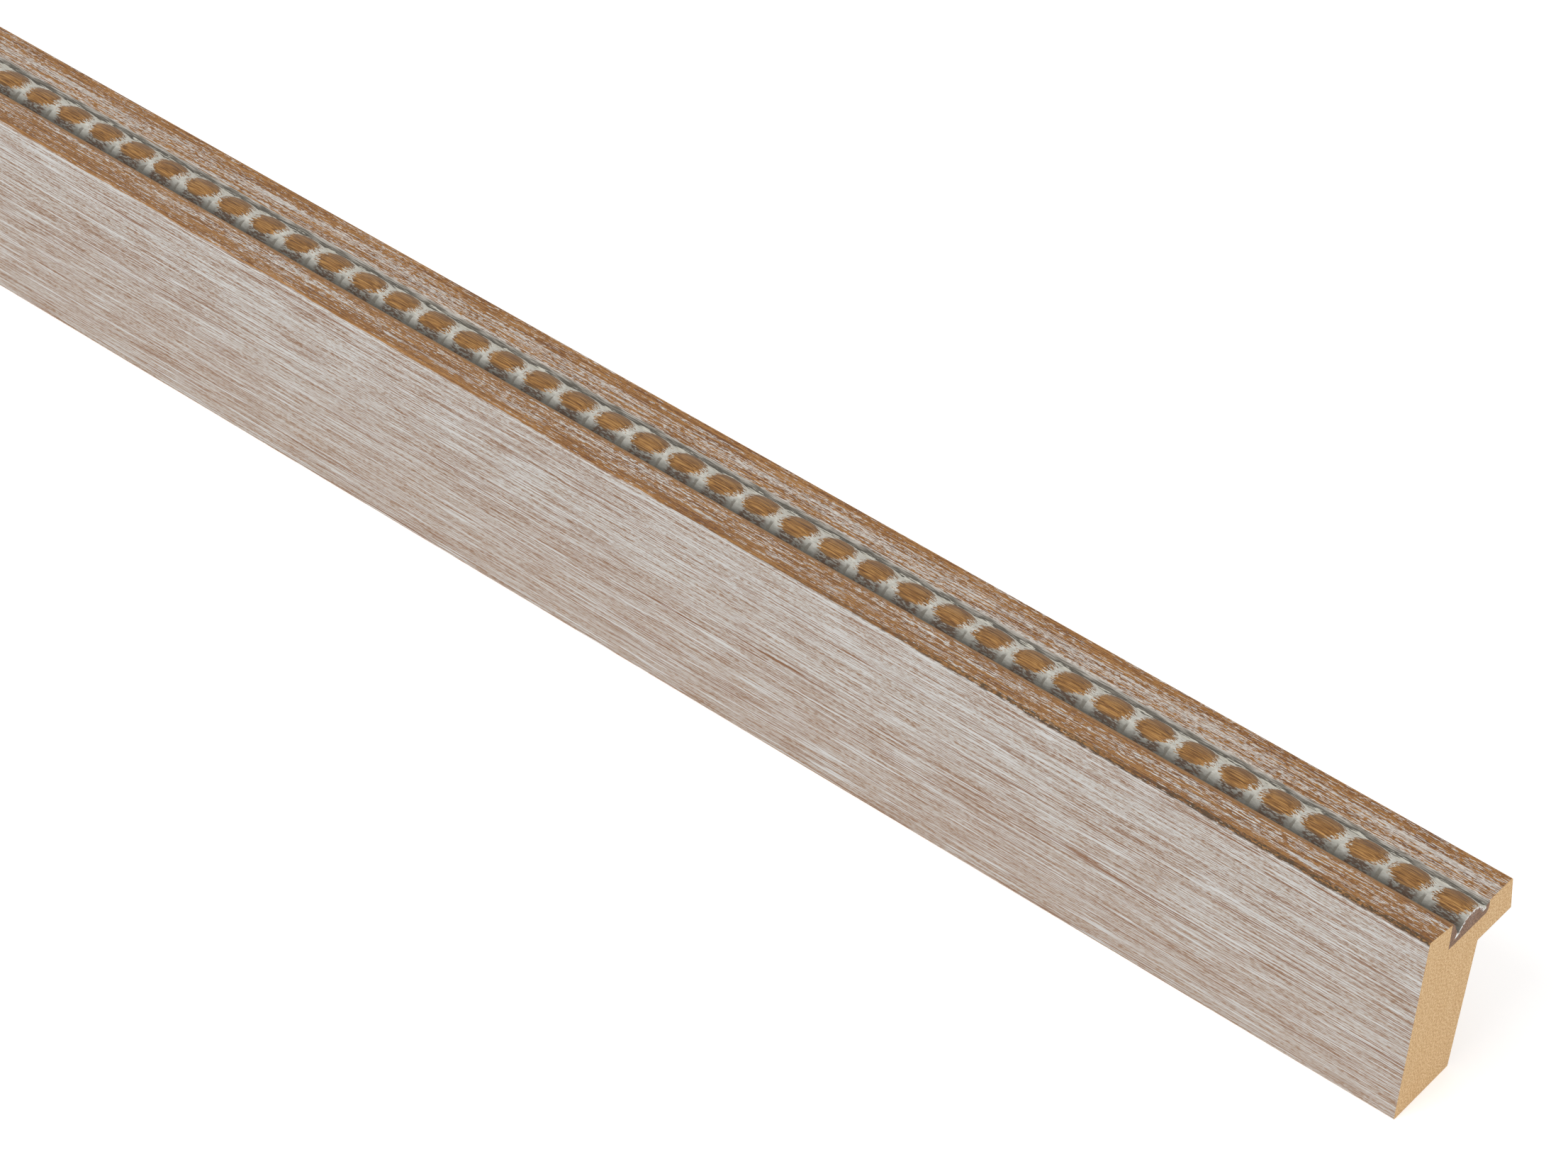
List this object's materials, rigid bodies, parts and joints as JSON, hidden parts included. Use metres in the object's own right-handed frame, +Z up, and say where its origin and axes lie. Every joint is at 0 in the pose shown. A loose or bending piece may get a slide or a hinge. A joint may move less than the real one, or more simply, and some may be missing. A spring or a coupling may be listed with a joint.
{
  "type": "picture frame moulding",
  "caption": "Length of rebated wooden frame stock with a tall leaning outer side, a flat lip and a groove that holds a pressed strip of touching half-round pearls.",
  "frame": {"origin": "middle of the length and of the overall width, on the plane of the back that meets the wall", "axes": "+X along the length to the pictured cut end, +Y across to the lip and sight edge, +Z up from the back to the face"},
  "size_m": [1, 0.0173, 0.0257],
  "materials": {
    "limed_wood": "bronze base coat under a brushed white wash, with a raw back, rebate and cut ends",
    "composition": "white wash wiped off the pearls to their bronze tops, with a raw brown cut end"
  },
  "bodies": {
    "root": {"wood_moulding": "limed_wood", "bead_strip": "composition"}
  },
  "joints": []
}
